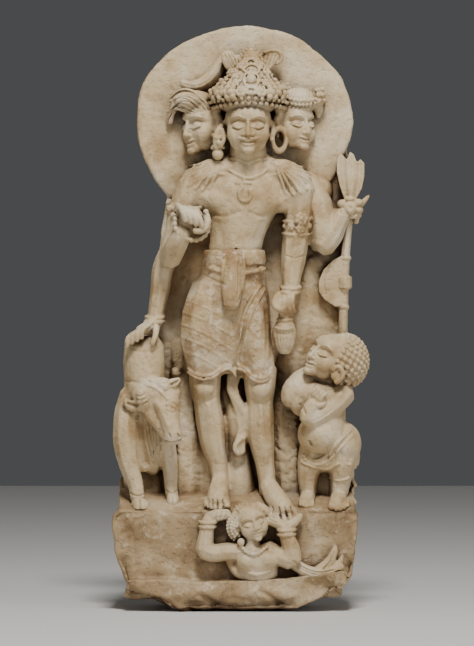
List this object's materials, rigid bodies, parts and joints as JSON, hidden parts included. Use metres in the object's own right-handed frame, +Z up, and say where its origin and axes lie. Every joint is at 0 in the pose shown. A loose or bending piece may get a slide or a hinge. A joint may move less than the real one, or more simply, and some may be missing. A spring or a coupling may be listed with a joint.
{
  "type": "carved stone figure stele",
  "caption": "Upright carved stone stele: a standing Shiva with a round halo, a bull and an attendant at his sides, and a base with a broken lower edge.",
  "frame": {"origin": "middle of the flat underside that the stele stands on", "axes": "+Z up, -Y towards the viewer in front, +X to the viewer's right"},
  "size_m": [0.2562, 0.114, 0.5837],
  "materials": {
    "stone": "carved pale marble, softly worn, with brown earth stains in the hollows"
  },
  "bodies": {
    "root": {"shiva_stele": "stone"}
  },
  "joints": []
}
